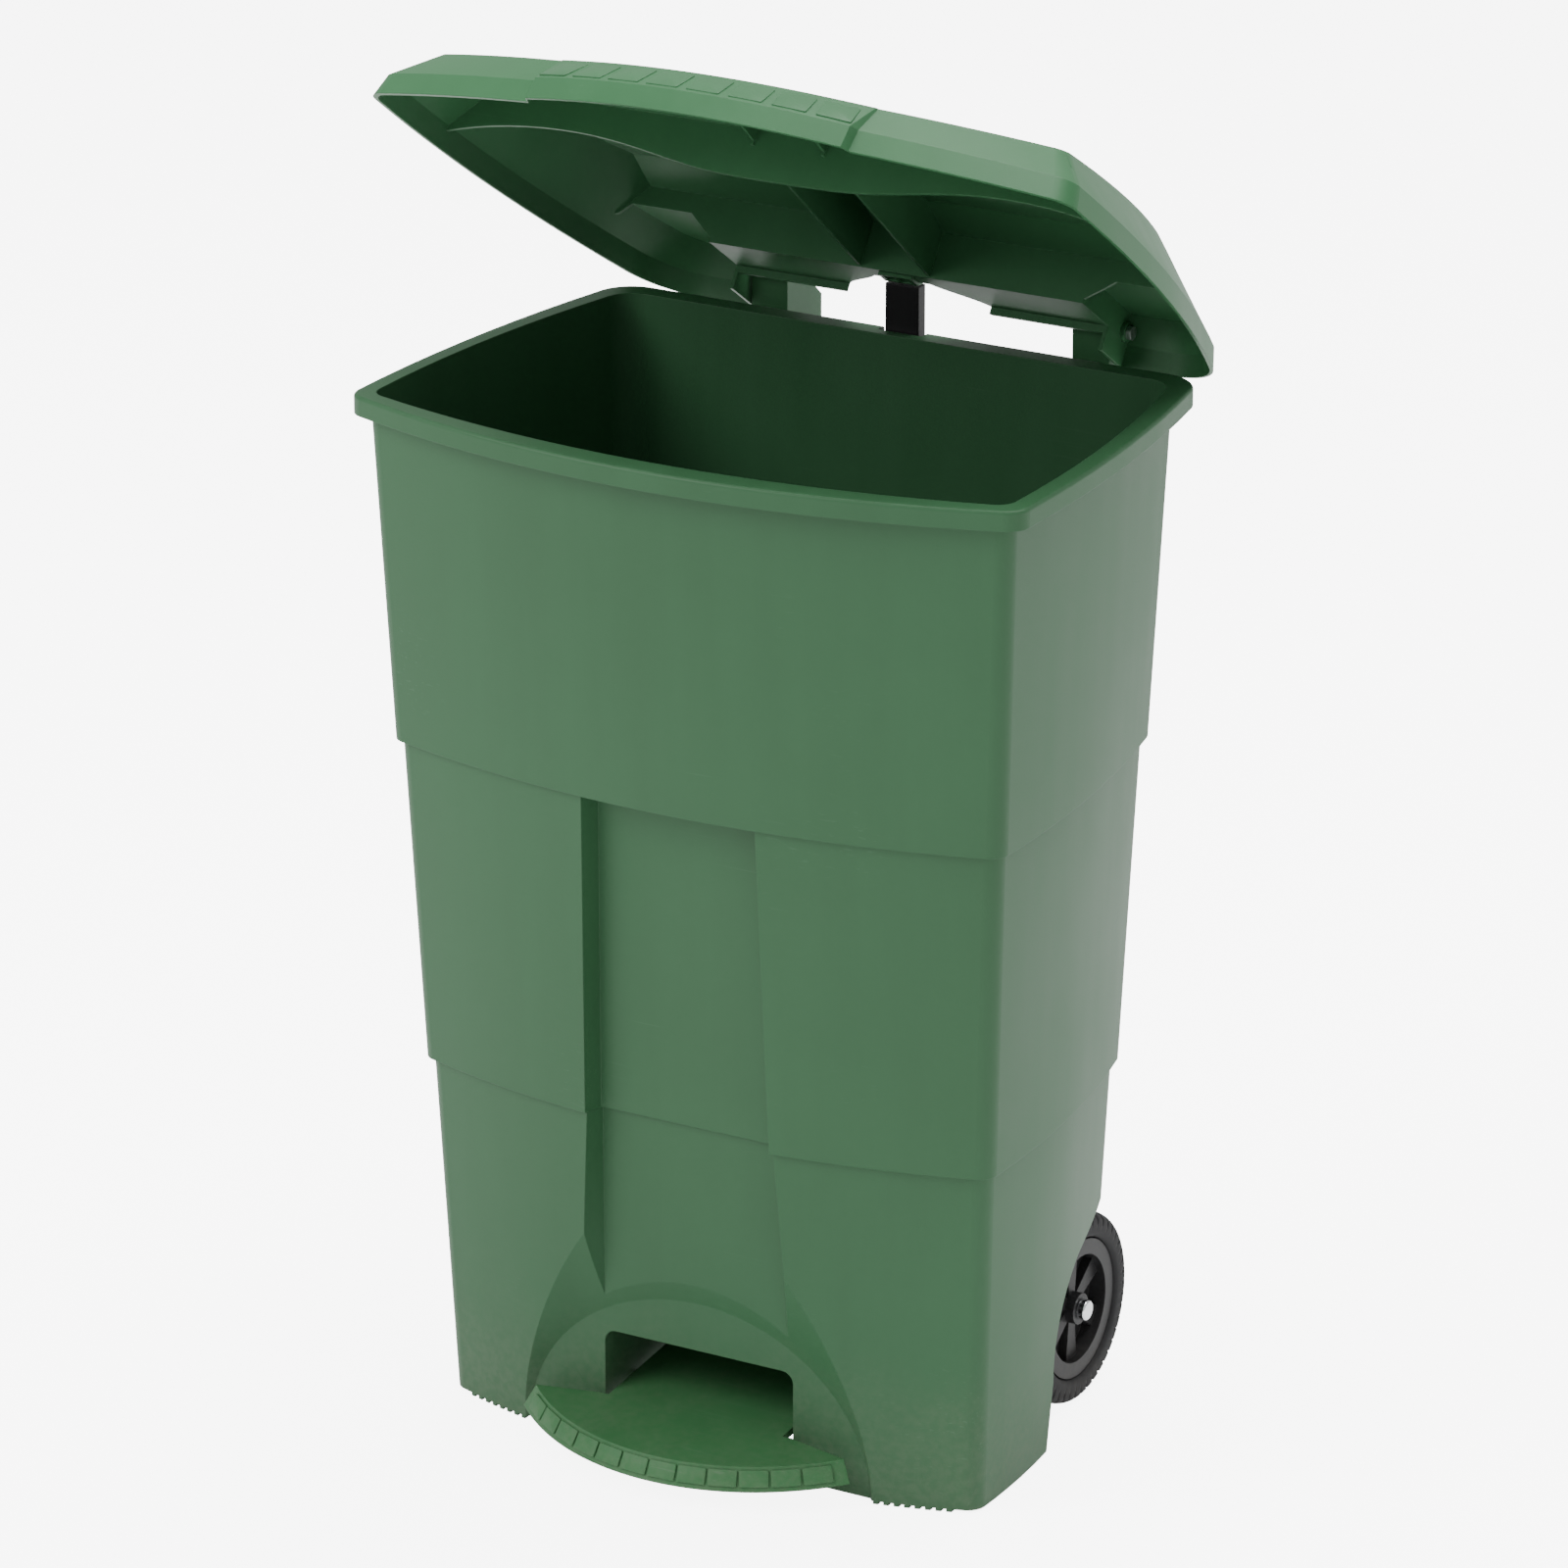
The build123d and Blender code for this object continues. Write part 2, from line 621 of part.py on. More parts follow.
def make_pedal():
    top = pivot_z + pedal_top
    plate = extrude(Pos(0, 0, top - pedal_thickness) * pedal_plan(0), amount=pedal_thickness)
    low = top - pedal_band_height
    outer = loft([Pos(0, 0, low) * pedal_blade(pedal_band_flare), Pos(0, 0, top) * pedal_blade(0)],
                 ruled=True)
    hollow = loft([Pos(0, 0, low - 1) * pedal_blade(pedal_band_flare - pedal_band_wall + 0.6),
                   Pos(0, 0, top - pedal_thickness) * pedal_blade(-pedal_band_wall + 4.0)],
                  ruled=True)
    back = box(-200, 200, pedal_tip_y + 4, 0, low - 2, top - pedal_thickness)
    pedal = plate + (outer - hollow - back)
    for x in (-58.0, 58.0):
        lug = box(x - 6, x + 6, pivot_y - 12, pivot_y + 12, pivot_z - 9, top - 1)
        pedal = pedal + lug
    bore = pivot_radius + running_clearance
    pedal = pedal - rod_x(-pedal_neck_half - 5, pedal_neck_half + 5, pivot_y, pivot_z, bore)
    for x, y in pedal_screw_places():
        pedal = pedal - (Pos(x, y, top - pedal_thickness) * Cylinder(screw_hole, 2 * screw_bite))
    return press_pedal(pedal)


def pedal_screw_places():
    x = lever_half_gap - 7
    return ((-x, pivot_y - 75), (x, pivot_y - 75), (-x, pivot_y - 25), (x, pivot_y - 25))


def level_point(y, z):
    """Where a point of the stored pose lies when the pedal is level."""
    turn = math.radians(-pedal_tilt)
    dy = y - pivot_y
    dz = z - pivot_z
    return (pivot_y + dy * math.cos(turn) - dz * math.sin(turn),
            pivot_z + dy * math.sin(turn) + dz * math.cos(turn))


def make_lever():
    """Two side plates joined by webs: the front lies under the pedal, the rear end is a fork."""
    half = lever_height / 2
    under = pivot_z + pedal_top - pedal_thickness
    mid_y, mid_z = level_point(*lever_low)
    end_y, end_z = level_point(rod_y, rod_pin_z)
    front = pivot_y - 95
    outline = [(front, under), (front, under - lever_height), (pivot_y + 20, under - lever_height - 3),
               (mid_y, mid_z - half), (end_y + 13, end_z - half - 4), (end_y + 13, end_z + half + 4),
               (end_y - 14, end_z + half + 4), (mid_y, mid_z + half), (pivot_y + 20, under)]
    inner = lever_half_gap
    outer = lever_half_gap + lever_plate
    lever = side_plate(outline, inner, outer) + side_plate(outline, -outer, -inner)
    web = side_plate([(front, under), (front, under - 4), (pivot_y - 12, under - 4),
                      (pivot_y - 12, under)], -inner - 1, inner + 1)
    strap = side_plate([(pivot_y + 24, under - 6), (mid_y - 20, mid_z + half - 6),
                        (mid_y - 20, mid_z + half - 2), (pivot_y + 24, under - 2)],
                       -inner - 1, inner + 1)
    lever = lever + web + strap
    saddle = pivot_radius + 1.0
    lever = lever - rod_x(-outer - 5, outer + 5, pivot_y, pivot_z, saddle)
    lever = lever - box(-outer - 5, outer + 5, pivot_y - saddle, pivot_y + saddle, pivot_z, under + 5)
    slot = box(-outer - 5, outer + 5, end_y - fork_half, end_y + fork_half,
               end_z - rod_pin_radius - fork_gap, end_z + rod_pin_radius + fork_gap)
    lever = lever - slot
    for x, y in pedal_screw_places():
        lever = lever - (Pos(x, y, under) * Cylinder(screw_hole, 30))
    return press_pedal(lever)


def make_pedal_screws():
    under = pivot_z + pedal_top - pedal_thickness
    screws = []
    for x, y in pedal_screw_places():
        shank = Pos(x, y, under - 2) * Cylinder(screw_radius, 2 * screw_bite - 0.6 + 4)
        head = Pos(x, y, under - lever_plate - screw_head_height / 2) * Cylinder(screw_head_radius - 0.5,
                                                                                screw_head_height)
        screws.append(press_pedal(shank + head))
    return group(screws)


def make_bracket():
    """The right pedal bracket, screwed up under the tub's floor."""
    x0 = bracket_x
    x1 = x0 + bracket_plate
    under = floor_z - wall
    half = bracket_depth / 2
    plate = side_plate([(pivot_y - half, under), (pivot_y - 9, pivot_z - 12), (pivot_y + 9, pivot_z - 12),
                        (pivot_y + half, under)], x0, x1)
    flange = box(x0, x1 + 18, pivot_y - half, pivot_y + half, under - 4, under)
    bracket = plate + flange
    bracket = bracket - rod_x(x0 - 5, x1 + 5, pivot_y, pivot_z, pivot_radius)
    for y in bracket_screw_places():
        bracket = bracket - (Pos(x1 + 10, y, under) * Cylinder(screw_hole, 20))
    return bracket


def bracket_screw_places():
    return (pivot_y - 10, pivot_y + 10)


def make_bracket_screws():
    x = bracket_x + bracket_plate + 10
    under = floor_z - wall
    screws = []
    for side in (-1, 1):
        for y in bracket_screw_places():
            shank = Pos(side * x, y, under - 2.2) * Cylinder(screw_radius, 4.4)
            head = Pos(side * x, y, under - 4 - screw_head_height / 2) * Cylinder(screw_head_radius,
                                                                                screw_head_height)
            screws.append(shank + head)
    return group(screws)


def make_pivot_rod():
    end = bracket_x + bracket_plate + 6
    return rod_x(-end, end, pivot_y, pivot_z, pivot_radius)


def make_pivot_clips():
    start = bracket_x + bracket_plate
    clips = []
    for side in (-1, 1):
        x0 = side * (start + 0.1)
        x1 = side * (start + 2.6)
        ring = rod_x(min(x0, x1), max(x0, x1), pivot_y, pivot_z, pivot_radius + 4)
        clips.append(ring - rod_x(min(x0, x1) - 1, max(x0, x1) + 1, pivot_y, pivot_z, pivot_radius))
    return group(clips)


# ---------------------------------------------------------------- push rod
def make_rod():
    back = rod_front + rod_thickness
    low = rod_pin_z - 8
    bar = box(-rod_half, rod_half, rod_front, back, low, rod_top)
    bar = fillet(bar.edges().filter_by(Axis.Z), 1.5)
    t = 3.0
    hollow = box(-rod_half + t, rod_half - t, rod_front + t, back - t, rod_pin_z + 20, rod_top - 4)
    bar = bar - hollow
    return bar - rod_x(-rod_half - 5, rod_half + 5, rod_y, rod_pin_z, rod_pin_radius)


def make_rod_pin():
    end = lever_half_gap + lever_plate + 3
    return rod_x(-end, end, rod_y, rod_pin_z, rod_pin_radius)


def make_guide(z, level):
    """A bracket on the rear wall with a square eye for the push rod."""
    clearance = guide_clearance
    inner_half = rod_half + clearance
    outer_half = inner_half + guide_wall
    eye_front = rod_front - clearance
    eye_back = rod_front + rod_thickness + clearance
    low = z - guide_height / 2
    high = z + guide_height / 2
    wall_y = rear_y - wall_inset(high, level)
    eye = box(-outer_half, outer_half, eye_front - guide_wall, eye_back + guide_wall, low, high)
    stem = box(-outer_half, outer_half, wall_y - 20, eye_front, low, high)
    flange = box(-outer_half - 16, outer_half + 16, wall_y - 20, wall_y + 4.5, low, high)
    guide = eye + stem + flange
    guide = guide - box(-inner_half, inner_half, eye_front, eye_back, low - 1, high + 1)
    guide = guide - tub_solid(0, 0, 0, rim_height)
    for side in (-1, 1):
        guide = guide - rod_along_y(side * (outer_half + 8), wall_y - 20, wall_y + 20, z, screw_hole)
    return guide


def make_guide_screws():
    screws = []
    x = rod_half + guide_clearance + guide_wall + 8
    for z, level in ((guide_heights[0], 2), (guide_heights[1], 0)):
        flange_y = rear_y - wall_inset(z + guide_height / 2, level) + 4.5
        wall_y = rear_y - wall_inset(z, level)
        for side in (-1, 1):
            shank = rod_along_y(side * x, wall_y + 0.1, flange_y, z, screw_radius)
            head = rod_along_y(side * x, flange_y, flange_y + screw_head_height, z, screw_head_radius)
            screws.append(shank + head)
    return group(screws)


# ---------------------------------------------------------------- wheels
def make_axle():
    end = wheel_outer_x + 2.5
    return rod_x(-end, end, wheel_y, wheel_z, axle_radius)


def make_tyre():
    """The right tyre: a rounded ring."""
    half = wheel_width / 2
    x_mid = wheel_inner_x + half
    section = Plane.XY * (Pos(0, (wheel_radius + tyre_inner_radius) / 2)
                          * RectangleRounded(wheel_width, wheel_radius - tyre_inner_radius, 7.0))
    ring = revolve(section, axis=Axis.X, revolution_arc=360)
    return Pos(x_mid, wheel_y, wheel_z) * ring


def make_wheel():
    """The right wheel: rim barrel, dished web with tapered spokes, and hub."""
    x0 = wheel_inner_x + 3
    x1 = wheel_outer_x - 3
    rim = rod_x(x0, x1, wheel_y, wheel_z, tyre_inner_radius)
    rim = rim - rod_x(x0 - 1, x1 + 1, wheel_y, wheel_z, tyre_inner_radius - 5)
    face = rod_x(x1 - 5, x1, wheel_y, wheel_z, tyre_inner_radius - 1)
    face = face - rod_x(x1 - 6, x1 + 1, wheel_y, wheel_z, 46)
    web = rod_x(x1 - 20, x1 - 15, wheel_y, wheel_z, tyre_inner_radius - 2)
    cone = rod_x(x1 - 20, x1, wheel_y, wheel_z, 48) - rod_x(x1 - 21, x1 + 1, wheel_y, wheel_z, 45)
    hub = rod_x(wheel_inner_x, x1 + 1, wheel_y, wheel_z, hub_radius)
    wheel = rim + face + web + cone + hub
    for index in range(spoke_count):
        turn = index * 360 / spoke_count + 30
        outline = Polyline((0, hub_radius - 2), (5, hub_radius - 2), (9, 47), (-9, 47),
                           (-5, hub_radius - 2), close=True)
        blade = extrude(make_face(outline), amount=9)
        blade = Rot(0, 90, 0) * blade
        blade = Pos(x1 - 16, wheel_y, wheel_z) * Rot(turn, 0, 0) * blade
        wheel = wheel + blade
    return wheel - rod_x(x0 - 10, x1 + 10, wheel_y, wheel_z, axle_radius + running_clearance)


def make_cap():
    """The right push-on cap that keeps the wheel on the axle."""
    x0 = wheel_outer_x - 1.5
    cap = rod_x(x0, x0 + cap_length, wheel_y, wheel_z, cap_radius)
    cap = fillet(cap.edges().group_by(Axis.X)[-1], 2.0)
    return cap - rod_x(x0 - 1, wheel_outer_x + 2.5, wheel_y, wheel_z, axle_radius)


def make_spacer():
    """The right washer between the tub and the wheel."""
    ring = rod_x(housing_x, wheel_inner_x - 0.5, wheel_y, wheel_z, 11)
    return ring - rod_x(housing_x - 1, wheel_inner_x, wheel_y, wheel_z, axle_radius)


def save(name, shape):
    placed = shape.moved(Location((0, centre_shift, 0)))
    export_step(placed, "parts/" + name + ".step")


def save_pair(name, shape):
    save(name + "_right", shape)
    save(name + "_left", mirror_x(shape))


save("body", make_body())
save_pair("hinge_post", make_post())
save("handle_bar", make_handle())
save_pair("hinge_pin", make_hinge_pin())
save("lid", open_lid(make_lid()))
save("lift_clip", open_lid(make_clip()))
save("pedal", make_pedal())
save("pedal_lever", make_lever())
save("pedal_screws", make_pedal_screws())
save_pair("pedal_bracket", make_bracket())
save("bracket_screws", make_bracket_screws())
save("pivot_rod", make_pivot_rod())
save("pivot_clips", make_pivot_clips())
save("push_rod", make_rod())
save("rod_pin", make_rod_pin())
save("rod_guide_lower", make_guide(guide_heights[0], 2))
save("rod_guide_upper", make_guide(guide_heights[1], 0))
save("guide_screws", make_guide_screws())
save("axle", make_axle())
save_pair("axle_cap", make_cap())
save_pair("wheel_spacer", make_spacer())
save_pair("wheel", make_wheel())
save_pair("tyre", make_tyre())
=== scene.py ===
import bmesh
import bpy
import json
import math
from mathutils import Matrix, Vector


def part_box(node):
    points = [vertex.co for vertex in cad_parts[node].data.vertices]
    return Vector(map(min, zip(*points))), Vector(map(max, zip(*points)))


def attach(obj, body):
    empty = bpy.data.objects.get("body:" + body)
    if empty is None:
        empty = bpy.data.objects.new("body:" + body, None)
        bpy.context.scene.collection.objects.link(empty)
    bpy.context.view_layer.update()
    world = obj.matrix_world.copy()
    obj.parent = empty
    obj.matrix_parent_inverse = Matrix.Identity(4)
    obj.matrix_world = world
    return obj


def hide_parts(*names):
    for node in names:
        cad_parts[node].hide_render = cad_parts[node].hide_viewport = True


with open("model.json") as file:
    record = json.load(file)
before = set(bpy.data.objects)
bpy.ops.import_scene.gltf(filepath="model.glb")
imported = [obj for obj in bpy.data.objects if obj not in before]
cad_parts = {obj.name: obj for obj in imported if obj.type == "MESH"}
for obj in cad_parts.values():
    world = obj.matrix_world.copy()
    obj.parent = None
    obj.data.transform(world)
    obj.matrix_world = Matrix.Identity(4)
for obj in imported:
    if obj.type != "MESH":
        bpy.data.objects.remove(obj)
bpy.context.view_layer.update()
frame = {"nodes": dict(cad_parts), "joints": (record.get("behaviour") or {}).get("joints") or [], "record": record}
nodes = frame["nodes"]
joints = {joint["name"]: joint for joint in frame["joints"]}

# ---------------------------------------------------------------- sizes, in metres
HINGE = Vector(joints["lid_hinge"]["pos_m"])
PIVOT = Vector(joints["pedal_pivot"]["pos_m"])
WHEEL = Vector(joints["wheel_right_spin"]["pos_m"])
LID_OPEN = math.radians(34.6)
PEDAL_DOWN = math.radians(5.5)
WHEEL_RADIUS = 0.080
TYRE_INNER = 0.058


# ---------------------------------------------------------------- shader helpers
def socket(tree, node, key, value):
    """Link a socket, or set a number or colour, on one input of a node."""
    target = node.inputs[key]
    if isinstance(value, bpy.types.NodeSocket):
        tree.links.new(value, target)
    else:
        target.default_value = value


def add(tree, kind, settings=None, **inputs):
    node = tree.nodes.new(kind)
    for name, value in (settings or {}).items():
        setattr(node, name, value)
    for key, value in inputs.items():
        socket(tree, node, key.replace("_", " "), value)
    return node


def calc(tree, operation, *values):
    node = tree.nodes.new("ShaderNodeMath")
    node.operation = operation
    for index, value in enumerate(values):
        socket(tree, node, index, value)
    return node.outputs[0]


def span(tree, value, low, high, to_low=0.0, to_high=1.0, smooth=True):
    """Map a value from low..high to to_low..to_high, held at the ends."""
    node = tree.nodes.new("ShaderNodeMapRange")
    node.interpolation_type = "SMOOTHSTEP" if smooth else "LINEAR"
    for index, number in enumerate((value, low, high, to_low, to_high)):
        socket(tree, node, index, number)
    return node.outputs[0]


def mix(tree, share, first, second, blend="MIX"):
    node = tree.nodes.new("ShaderNodeMix")
    node.data_type = "RGBA"
    node.blend_type = blend
    socket(tree, node, 0, share)
    socket(tree, node, 6, first)
    socket(tree, node, 7, second)
    return node.outputs[2]


def stretched(tree, vector, scale, turn=(0.0, 0.0, 0.0)):
    node = add(tree, "ShaderNodeMapping", Vector=vector)
    node.inputs["Scale"].default_value = scale
    node.inputs["Rotation"].default_value = turn
    return node.outputs[0]


def noise(tree, vector, scale, detail=2.0, rough=0.5):
    node = add(tree, "ShaderNodeTexNoise", Vector=vector, Scale=scale, Detail=detail, Roughness=rough)
    return node.outputs["Fac"]


def shader_group(name, inputs, outputs):
    tree = bpy.data.node_groups.new(name, "ShaderNodeTree")
    for label, kind, value in inputs:
        new = tree.interface.new_socket(label, in_out="INPUT", socket_type=kind)
        if value is not None:
            new.default_value = value
    for label, kind in outputs:
        tree.interface.new_socket(label, in_out="OUTPUT", socket_type=kind)
    return tree, tree.nodes.new("NodeGroupInput"), tree.nodes.new("NodeGroupOutput")


FLOAT = "NodeSocketFloat"
VECTOR = "NodeSocketVector"


def make_grain_group():
    """Fine spark-eroded mould grain, slow waviness and faint upright flow streaks."""
    tree, given, out = shader_group(
        "moulded_grain",
        [("Coordinate", VECTOR, None), ("Grain", FLOAT, 900.0), ("Grain depth", FLOAT, 1.0)],
        [("Height", FLOAT), ("Tone", FLOAT)])
    where = given.outputs["Coordinate"]
    cells = add(tree, "ShaderNodeTexVoronoi", {"feature": "SMOOTH_F1"}, Vector=where,
                Scale=given.outputs["Grain"], Smoothness=0.7).outputs["Distance"]
    fine = noise(tree, where, calc(tree, "MULTIPLY", given.outputs["Grain"], 1.9), 3.0)
    grain = calc(tree, "ADD", calc(tree, "MULTIPLY", cells, 0.6), calc(tree, "MULTIPLY", fine, 0.7))
    wave = noise(tree, where, 7.0, 1.0)
    streak = noise(tree, stretched(tree, where, (26.0, 26.0, 1.6)), 1.0, 3.0)
    slow = calc(tree, "ADD", calc(tree, "MULTIPLY", wave, 2.2), calc(tree, "MULTIPLY", streak, 0.25))
    deep = calc(tree, "MULTIPLY", grain, given.outputs["Grain depth"])
    tree.links.new(calc(tree, "ADD", deep, slow), out.inputs["Height"])
    cloud = noise(tree, where, 3.5, 4.0)
    tone = calc(tree, "ADD", calc(tree, "MULTIPLY", cloud, 0.65), calc(tree, "MULTIPLY", streak, 0.35))
    tree.links.new(span(tree, tone, 0.3, 0.7), out.inputs["Tone"])
    return tree


def make_rub_group():
    """Thin crossing rub marks, broken up into patches."""
    tree, given, out = shader_group(
        "rub_marks", [("Coordinate", VECTOR, None), ("Spread", FLOAT, 0.5)], [("Mask", FLOAT)])
    where = given.outputs["Coordinate"]
    lines = None
    for turn, scale in (((0.3, 0.5, 0.9), (9.0, 420.0, 420.0)), ((1.1, -0.4, 2.2), (14.0, 560.0, 560.0)),
                        ((-0.5, 0.9, 0.2), (7.0, 360.0, 360.0))):
        value = noise(tree, stretched(tree, where, scale, turn), 1.0, 2.0)
        line = span(tree, value, 0.66, 0.74)
        lines = line if lines is None else calc(tree, "MAXIMUM", lines, line)
    patch = noise(tree, where, 6.0, 3.0)
    limit = calc(tree, "SUBTRACT", 0.85, calc(tree, "MULTIPLY", given.outputs["Spread"], 0.5))
    patches = span(tree, calc(tree, "SUBTRACT", patch, limit), -0.12, 0.12)
    tree.links.new(calc(tree, "MULTIPLY", lines, patches), out.inputs["Mask"])
    return tree


def make_dust_group():
    """Dust that gathers towards the floor, in soft spots."""
    tree, given, out = shader_group(
        "floor_dust", [("Coordinate", VECTOR, None), ("Reach", FLOAT, 0.15)], [("Mask", FLOAT)])
    where = given.outputs["Coordinate"]
    height = add(tree, "ShaderNodeSeparateXYZ", Vector=where).outputs["Z"]
    cloud = noise(tree, where, 18.0, 5.0, 0.6)
    spots = noise(tree, where, 160.0, 3.0)
    lifted = calc(tree, "ADD", height, calc(tree, "MULTIPLY", calc(tree, "SUBTRACT", cloud, 0.5), 0.12))
    share = calc(tree, "DIVIDE", lifted, given.outputs["Reach"])
    low = span(tree, share, 0.0, 1.0, 1.0, 0.0)
    broken = calc(tree, "MULTIPLY", low, span(tree, spots, 0.3, 0.7, 0.35, 1.0))
    tree.links.new(broken, out.inputs["Mask"])
    return tree


GRAIN = make_grain_group()
RUB = make_rub_group()
DUST = make_dust_group()


def grouped(tree, group, **inputs):
    node = tree.nodes.new("ShaderNodeGroup")
    node.node_tree = group
    for key, value in inputs.items():
        socket(tree, node, key.replace("_", " "), value)
    return node


def blank_material(name):
    material = bpy.data.materials.new(name)
    material.use_nodes = True
    tree = material.node_tree
    shader = tree.nodes["Principled BSDF"]
    where = tree.nodes.new("ShaderNodeTexCoord").outputs["Object"]
    return material, tree, shader, where


def finish_normal(tree, shader, height, distance, round_edge):
    """Soft edges first, then the fine relief."""
    bump = add(tree, "ShaderNodeBump", Height=height, Distance=distance, Strength=1.0)
    if round_edge > 0:
        edge = add(tree, "ShaderNodeBevel", {"samples": 6}, Radius=round_edge)
        tree.links.new(edge.outputs[0], bump.inputs["Normal"])
    tree.links.new(bump.outputs[0], shader.inputs["Normal"])


def moulded(name, dark, light, worn, rough, grain=900.0, depth=0.00005, rub=0.35, dust=0.1,
            dust_reach=0.15, round_edge=0.0009, coat=0.0):
    """A moulded plastic: two tones, rub marks, floor dust, grain."""
    material, tree, shader, where = blank_material(name)
    shader.inputs["Specular IOR Level"].default_value = 0.22
    surface = grouped(tree, GRAIN, Coordinate=where, Grain=grain)
    marks = grouped(tree, RUB, Coordinate=where, Spread=rub)
    dirt = grouped(tree, DUST, Coordinate=where, Reach=dust_reach)
    base = mix(tree, surface.outputs["Tone"], dark, light)
    base = mix(tree, calc(tree, "MULTIPLY", marks.outputs["Mask"], 0.35), base, worn)
    dirty = calc(tree, "MULTIPLY", dirt.outputs["Mask"], dust)
    base = mix(tree, dirty, base, (0.30, 0.27, 0.22, 1.0))
    tree.links.new(base, shader.inputs["Base Color"])
    value = span(tree, surface.outputs["Tone"], 0.0, 1.0, rough - 0.05, rough + 0.05, False)
    value = calc(tree, "ADD", value, calc(tree, "MULTIPLY", marks.outputs["Mask"], 0.12))
    value = calc(tree, "ADD", value, calc(tree, "MULTIPLY", dirty, 0.5))
    tree.links.new(value, shader.inputs["Roughness"])
    shader.inputs["Coat Weight"].default_value = coat
    shader.inputs["Coat Roughness"].default_value = 0.35
    finish_normal(tree, shader, surface.outputs["Height"], depth, round_edge)
    return material


def plated(name, colour, rough, spangle=0.0, brushed=0.0, depth=0.00002):
    """A plated metal, with crystal spangle or a drawn finish."""
    material, tree, shader, where = blank_material(name)
    crystals = add(tree, "ShaderNodeTexVoronoi", Vector=where, Scale=260.0).outputs["Color"]
    tone = add(tree, "ShaderNodeSeparateColor", Color=crystals).outputs[0]
    drawn = noise(tree, stretched(tree, where, (12.0, 900.0, 900.0)), 1.0, 3.0)
    cloud = noise(tree, where, 60.0, 4.0)
    marks = grouped(tree, RUB, Coordinate=where, Spread=0.6).outputs["Mask"]
    share = calc(tree, "MULTIPLY", tone, spangle)
    dull = tuple(0.62 * part for part in colour[:3]) + (1.0,)
    base = mix(tree, share, colour, dull)
    base = mix(tree, calc(tree, "MULTIPLY", cloud, 0.25), base, dull)
    tree.links.new(base, shader.inputs["Base Color"])
    shader.inputs["Metallic"].default_value = 1.0
    value = calc(tree, "ADD", calc(tree, "MULTIPLY", cloud, 0.18), rough - 0.09)
    value = calc(tree, "ADD", value, calc(tree, "MULTIPLY", tone, spangle * 0.12))
    value = calc(tree, "ADD", value, calc(tree, "MULTIPLY", marks, 0.15))
    tree.links.new(value, shader.inputs["Roughness"])
    height = calc(tree, "ADD", calc(tree, "MULTIPLY", drawn, brushed), calc(tree, "MULTIPLY", marks, -0.4))
    finish_normal(tree, shader, height, depth, 0.0005)
    return material


GREEN_TUB = moulded("green_tub", (0.030, 0.094, 0.040, 1), (0.036, 0.108, 0.048, 1),
                    (0.10, 0.20, 0.12, 1), 0.44)
GREEN_LID = moulded("green_lid", (0.033, 0.116, 0.047, 1), (0.040, 0.134, 0.056, 1),
                    (0.10, 0.21, 0.12, 1), 0.40, rub=0.3)
GREEN_PEDAL = moulded("green_pedal", (0.034, 0.130, 0.046, 1), (0.041, 0.150, 0.054, 1),
                      (0.10, 0.19, 0.11, 1), 0.44, rub=0.75, dust=0.12, dust_reach=0.09)
BLACK = moulded("black_plastic", (0.011, 0.011, 0.012, 1), (0.016, 0.015, 0.016, 1),
                (0.07, 0.07, 0.07, 1), 0.38, grain=1100.0, rub=0.6)
CHARCOAL = moulded("wheel_plastic", (0.018, 0.018, 0.019, 1), (0.026, 0.026, 0.027, 1),
                   (0.08, 0.08, 0.08, 1), 0.46, grain=800.0, dust=0.06, dust_reach=0.10)
RUBBER = moulded("tyre", (0.020, 0.020, 0.021, 1), (0.028, 0.028, 0.029, 1),
                 (0.08, 0.08, 0.078, 1), 0.72, grain=600.0, depth=0.00008, rub=0.3, dust=0.05,
                 dust_reach=0.05, round_edge=0.0)
ZINC = plated("galvanised", (0.62, 0.63, 0.64, 1), 0.38, spangle=0.5, brushed=0.3)
CHROME = plated("bright_cap", (0.90, 0.91, 0.93, 1), 0.16, spangle=0.0, brushed=0.1)

FINISHES = {"green_tub": GREEN_TUB, "green_lid": GREEN_LID, "green_pedal": GREEN_PEDAL,
            "black_plastic": BLACK, "wheel_plastic": CHARCOAL, "tyre": RUBBER,
            "galvanised": ZINC, "bright_cap": CHROME}

for part in frame["record"]["subparts"]:
    node = nodes[part["node"]]
    node.data.materials.clear()
    node.data.materials.append(FINISHES[part["material_slot"]])


# ---------------------------------------------------------------- geometry helpers
def geometry_tree(name, inputs):
    tree = bpy.data.node_groups.new(name, "GeometryNodeTree")
    tree.interface.new_socket("Geometry", in_out="INPUT", socket_type="NodeSocketGeometry")
    for label, kind, value in inputs:
        new = tree.interface.new_socket(label, in_out="INPUT", socket_type=kind)
        if value is not None:
            new.default_value = value
    tree.interface.new_socket("Geometry", in_out="OUTPUT", socket_type="NodeSocketGeometry")
    return tree, tree.nodes.new("NodeGroupInput"), tree.nodes.new("NodeGroupOutput")


def run_tree(name, mesh, tree, values):
    """Apply a geometry tree to a mesh and return a plain object with the result."""
    carrier = bpy.data.objects.new(name + "_source", mesh)
    bpy.context.scene.collection.objects.link(carrier)
    modifier = carrier.modifiers.new("make", "NODES")
    modifier.node_group = tree
    for item in tree.interface.items_tree:
        if item.in_out == "INPUT" and item.name in values:
            modifier[item.identifier] = values[item.name]
    bpy.context.view_layer.update()
    ready = carrier.evaluated_get(bpy.context.evaluated_depsgraph_get())
    made = bpy.data.meshes.new_from_object(ready)
    made.name = name
    carrier.modifiers.remove(modifier)
    bpy.data.objects.remove(carrier)
    piece = bpy.data.objects.new(name, made)
    bpy.context.scene.collection.objects.link(piece)
    return piece


